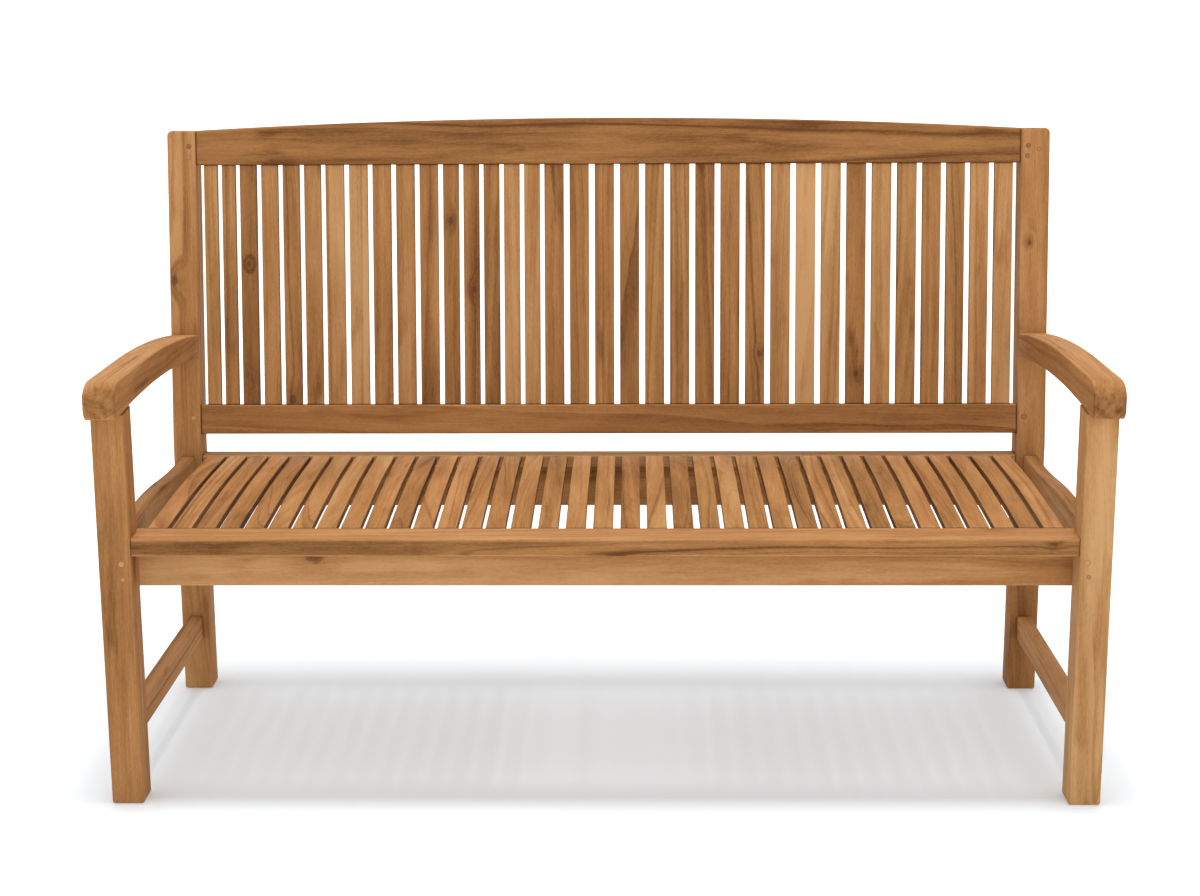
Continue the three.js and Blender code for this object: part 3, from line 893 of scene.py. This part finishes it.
class BENCH_OT_plugs(MakesBoards, bpy.types.Operator):
    """Wooden plugs over the pins of the tenons, on the front faces of legs and posts"""

    bl_idname = "bench.plugs"
    bl_label = "Plugs"

    def execute(self, context):
        radius = self.edge.plug_diameter / 2

        def on_leg(x, z):
            return lambda a, b, c: (x + a, FRONT - c, z + b)

        def on_post(x, up):
            return lambda a, b, c: raked(x + a, -c, up + b)

        # Where each plug is, how much darker it is and its share of the full diameter.
        places = {
            "leg_right_upper": (on_leg(0.713, 0.381), -0.10, 1.0),
            "leg_right_lower": (on_leg(0.716, 0.359), 0.12, 0.7),
            "leg_left_upper": (on_leg(-0.716, 0.379), -0.14, 1.0),
            "leg_left_lower": (on_leg(-0.715, 0.355), -0.08, 0.7),
            "post_right_top": (on_post(0.7135, 0.510), 0.40, 0.85),
            "post_right_middle": (on_post(0.7125, 0.493), 0.30, 0.8),
            "post_right_outer": (on_post(0.732, 0.504), 0.16, 0.75),
            "post_right_seat": (on_post(0.713, 0.0495), 0.20, 0.95),
            "post_left_top": (on_post(-0.713, 0.513), 0.42, 0.85),
            "post_left_middle": (on_post(-0.713, 0.494), 0.05, 0.7),
            "post_left_seat": (on_post(-0.714, 0.0487), -0.14, 0.9),
        }
        for name, (place, tone, size) in places.items():
            plug(f"plug_{name}", place, radius * size, tone)
        return {"FINISHED"}


# ---- Stage, lights and camera ----------------------------------------------------------------


def pale_floor(name):
    """A matt floor that glows a little, and more the further it is from the bench.
    Near the bench it is painted cool, to cancel the warm light that the wood bounces onto it.
    """
    stage = bpy.context.scene.bench_stage
    sh = Shader(name)
    place = sh.node("ShaderNodeTexCoord").outputs["Object"]
    grey = sh.noise(place, (3, 3, 3), 2.0)
    distance = Value(sh, sh.node("ShaderNodeVectorMath", {"operation": "LENGTH"}, {
        0: place}).outputs["Value"])
    away = sh.band(distance, 0.8, 1.5)
    # Painted light: near the bench the floor is coloured cool against the warm light bounced off the
    # wood, and it turns grey further away.
    under = (*stage.floor, 1)
    colour = sh.mixed(away + grey * 0.02, under, (*[stage.floor[1]] * 3, 1))
    glow = sh.mixed(sh.band(distance, 1.2, 3.5), (*[stage.glow] * 3, 1), (*[stage.glow + 0.4] * 3, 1))
    return sh.finish(colour, 0.9 + (grey - 0.5) * 0.05, grey, 0.02, 0.0005, **{
        "Specular IOR Level": 0.0, "Emission Color": glow, "Emission Strength": 1.0})


def looking(right, up, forward, place):
    """The matrix of a lamp or camera that looks forward from a place."""
    rows = [(right[k], up[k], -forward[k], place[k]) for k in range(3)]
    return Matrix([*rows, (0, 0, 0, 1)])


def area_light(name, place, aim, size, power):
    """A white rectangular light at a place, turned towards the point that it aims at."""
    light = bpy.data.lights.new(name, "AREA")
    light.shape = "RECTANGLE"
    light.size, light.size_y = size
    light.energy = power
    obj = bpy.data.objects.new(name, light)
    bpy.context.scene.collection.objects.link(obj)
    forward = np.array(aim) - np.array(place)
    forward = forward / np.linalg.norm(forward)
    right = np.cross(forward, (0, 0, 1) if abs(forward[2]) < 0.99 else (0, 1, 0))
    right /= np.linalg.norm(right)
    obj.matrix_world = looking(right, np.cross(right, forward), forward, place)


class BENCH_OT_stage(bpy.types.Operator):
    """Pale floor that sweeps up behind, soft studio lights and the camera"""

    bl_idname = "bench.stage"
    bl_label = "Stage and camera"

    def execute(self, context):
        stage = context.scene.bench_stage
        self.sweep()
        context.scene.world = self.soft_sky(stage.sky)
        area_light("overhead light", (0, 0.0, 8.0), (0, 0.0, 0), (2.4, 1.6), stage.overhead)
        area_light("front light", (1.6, -4.2, 2.2), (0, 0, 0.5), (2.4, 2.0), stage.front)
        context.scene.view_settings.view_transform = "Standard"
        self.camera(context)
        return {"FINISHED"}

    def soft_sky(self, strength):
        """An even white sky that lights the bench softly and looks as white as the floor."""
        backdrop = 1.2  # what the camera sees of it
        world = bpy.data.worlds.new("soft sky")
        world.use_nodes = True
        tree = world.node_tree
        background = tree.nodes["Background"]
        background.inputs["Color"].default_value = (1, 1, 1, 1)
        seen = tree.nodes.new("ShaderNodeLightPath").outputs["Is Camera Ray"]
        total = tree.nodes.new("ShaderNodeMath")
        total.operation = "MULTIPLY_ADD"
        total.inputs[1].default_value = backdrop - strength
        total.inputs[2].default_value = strength
        tree.links.new(seen, total.inputs[0])
        tree.links.new(total.outputs[0], background.inputs["Strength"])
        return world

    def sweep(self):
        """The floor: a profile of flat ground, quarter circle and wall, carried across in x."""
        bend, back, front, wall, half, steps = 3.0, 9.0, -45.0, 9.0, 40.0, 37
        turn = np.radians(np.linspace(0, 90, 25))
        flat = np.linspace(front, back, steps)
        y = np.concatenate([flat, back + bend * np.sin(turn[1:]), [back + bend]])
        z = np.concatenate([np.zeros(steps), bend * (1 - np.cos(turn[1:])), [wall]])
        x = np.linspace(-half, half, 33)
        points = np.stack([
            np.repeat(x, len(y)), np.tile(y, len(x)), np.tile(z, len(x))], axis=1)
        i, j = np.meshgrid(np.arange(len(x) - 1), np.arange(len(y) - 1), indexing="ij")
        a = i * len(y) + j
        quads = np.stack([a, a + len(y), a + len(y) + 1, a + 1], axis=2).reshape(-1, 4)
        mesh = bpy.data.meshes.new("pale_floor")
        mesh.from_pydata(points.tolist(), [], quads.tolist())
        mesh.polygons.foreach_set("use_smooth", np.ones(len(mesh.polygons), bool))
        floor = bpy.data.objects.new("pale_floor", mesh)
        bpy.context.scene.collection.objects.link(floor)
        floor.data.materials.append(material("pale floor", pale_floor))

    def camera(self, context):
        """Camera in front of the bench at eye height, from its pitch, turn and roll."""
        pitch, turn, roll = 0.22, -0.017, -0.0048
        place = (0.046, FRONT - 2.953, 1.223)
        forward = np.array([
            math.sin(turn) * math.cos(pitch), math.cos(turn) * math.cos(pitch), -math.sin(pitch)])
        level = np.array([math.cos(turn), -math.sin(turn), 0])
        above = np.cross(level, forward)
        right = math.cos(roll) * level + math.sin(roll) * above
        up = -math.sin(roll) * level + math.cos(roll) * above
        data = bpy.data.cameras.new("camera")
        data.sensor_width = 36.0
        data.lens = 62.2
        data.shift_y = -0.004
        obj = bpy.data.objects.new("camera", data)
        context.scene.collection.objects.link(obj)
        obj.matrix_world = looking(right, up, forward, place)
        context.scene.camera = obj


class BENCH_PT_panel(bpy.types.Panel):
    """Lists the settings and the parts of the bench"""

    bl_label = "Garden bench"
    bl_idname = "BENCH_PT_panel"
    bl_space_type = "VIEW_3D"
    bl_region_type = "UI"
    bl_category = "Bench"

    def draw(self, context):
        for group in (context.scene.bench_shape, context.scene.bench_wood, context.scene.bench_stage):
            box = self.layout.box()
            for name in group.bl_rna.properties.keys():
                if name not in ("rna_type", "name"):
                    box.prop(group, name)
        for operator in OPERATORS:
            self.layout.operator(operator.bl_idname)


GROUPS = {"bench_shape": BenchShape, "bench_wood": BenchWood, "bench_stage": BenchStage}
OPERATORS = (
    BENCH_OT_stage, BENCH_OT_front_legs, BENCH_OT_rear_posts, BENCH_OT_armrests,
    BENCH_OT_side_rails, BENCH_OT_aprons, BENCH_OT_seat_boards, BENCH_OT_seat_slats,
    BENCH_OT_back_rails, BENCH_OT_back_slats, BENCH_OT_plugs,
)


def register():
    for cls in (*GROUPS.values(), *OPERATORS, BENCH_PT_panel):
        bpy.utils.register_class(cls)
    for name, group in GROUPS.items():
        setattr(bpy.types.Scene, name, PointerProperty(type=group))


def unregister():
    for name in GROUPS:
        delattr(bpy.types.Scene, name)
    for cls in reversed((*GROUPS.values(), *OPERATORS, BENCH_PT_panel)):
        bpy.utils.unregister_class(cls)


def main():
    register()
    for operator in OPERATORS:
        group, name = operator.bl_idname.split(".")
        getattr(getattr(bpy.ops, group), name)()


if __name__ == "__main__":
    main()
